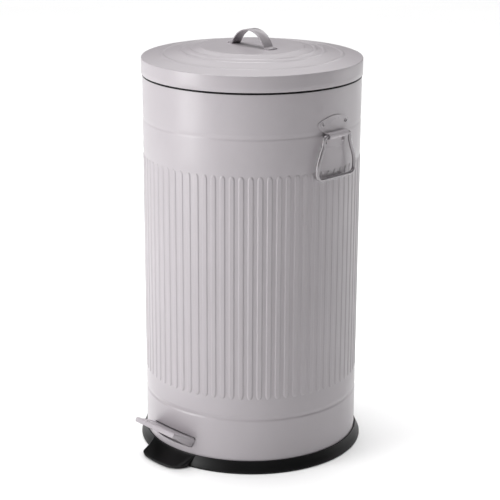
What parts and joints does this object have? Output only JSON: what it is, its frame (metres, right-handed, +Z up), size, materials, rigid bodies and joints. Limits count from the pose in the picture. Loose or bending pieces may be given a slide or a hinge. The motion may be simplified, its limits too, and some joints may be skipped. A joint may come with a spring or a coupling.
{
  "type": "pedal trash can",
  "caption": "Round ribbed metal pedal trash can with a domed hinged lid on a pedal lever and push rod, a removable inner bucket, and swinging wire carrying handles.",
  "frame": {"origin": "on the body's axis, on the floor that the can stands on", "axes": "+Z up along the body's axis, -Y towards the pedal, +Y towards the lid hinge, the carrying handles just behind +X and -X"},
  "size_m": [0.3208, 0.3479, 0.5868],
  "materials": {
    "body_paint": "satin pale mauve-grey paint on sheet steel",
    "base_plastic": "fine-grained black moulded plastic",
    "rim_plastic": "smooth black moulded edge trim",
    "bucket_plastic": "black moulded plastic bucket",
    "plain_steel": "plain zinc-plated sheet steel and wire",
    "bright_wire": "bright plated steel"
  },
  "bodies": {
    "can": {"base": "base_plastic", "body_shell": "body_paint", "rim_trim": "rim_plastic", "hinge_bracket": "body_paint", "hinge_bracket_rivets": "bright_wire", "hinge_pin": "bright_wire", "hinge_pin_clips": "bright_wire", "rod_guide_lower": "plain_steel", "rod_guide_upper": "plain_steel", "pedal_bracket": "plain_steel", "bracket_screws": "bright_wire", "pedal_axle": "bright_wire", "axle_clips": "bright_wire", "right_handle_plate": "body_paint", "right_handle_rivets": "body_paint", "left_handle_plate": "body_paint", "left_handle_rivets": "body_paint", "inner_bucket": "bucket_plastic", "bucket_bail": "bright_wire"},
    "lid_assembly": {"lid": "body_paint", "lid_handle": "body_paint", "lid_hinge_leaf": "body_paint", "lid_leaf_rivets": "bright_wire", "lid_lift_arm": "plain_steel"},
    "lift_rod": {"push_rod": "plain_steel"},
    "pedal_assembly": {"pedal_tread": "body_paint", "pedal_lever": "plain_steel", "pedal_rivets": "bright_wire"},
    "right_wire_handle": {"right_bail": "body_paint"},
    "left_wire_handle": {"left_bail": "body_paint"}
  },
  "joints": [
    {"name": "lid_hinge", "type": "hinge", "parent": "can", "child": "lid_assembly", "pos_m": [0, 0.16, 0.53], "axis": [-1, 0, 0], "range_deg": [0, 80]},
    {"name": "pedal_hinge", "type": "hinge", "parent": "can", "child": "pedal_assembly", "pos_m": [0, -0.095, 0.014], "axis": [1, 0, 0], "range_deg": [0, 12.5]},
    {"name": "rod_slide", "type": "slide", "parent": "can", "child": "lift_rod", "axis": [0, 0, 1], "range_m": [0, 0.03]},
    {"name": "right_bail_hinge", "type": "hinge", "parent": "can", "child": "right_wire_handle", "pos_m": [0.15471, 0.00946, 0.465], "axis": [0.061, -0.9981, 0], "range_deg": [0, 150]},
    {"name": "left_bail_hinge", "type": "hinge", "parent": "can", "child": "left_wire_handle", "pos_m": [-0.15471, 0.00946, 0.465], "axis": [0.061, 0.9981, 0], "range_deg": [0, 150]}
  ],
  "couplings": [
    {"joint": "pedal_hinge", "follows": "lid_hinge", "ratio": 0.15625},
    {"joint": "rod_slide", "follows": "lid_hinge", "m_per_rad": 0.021485}
  ]
}
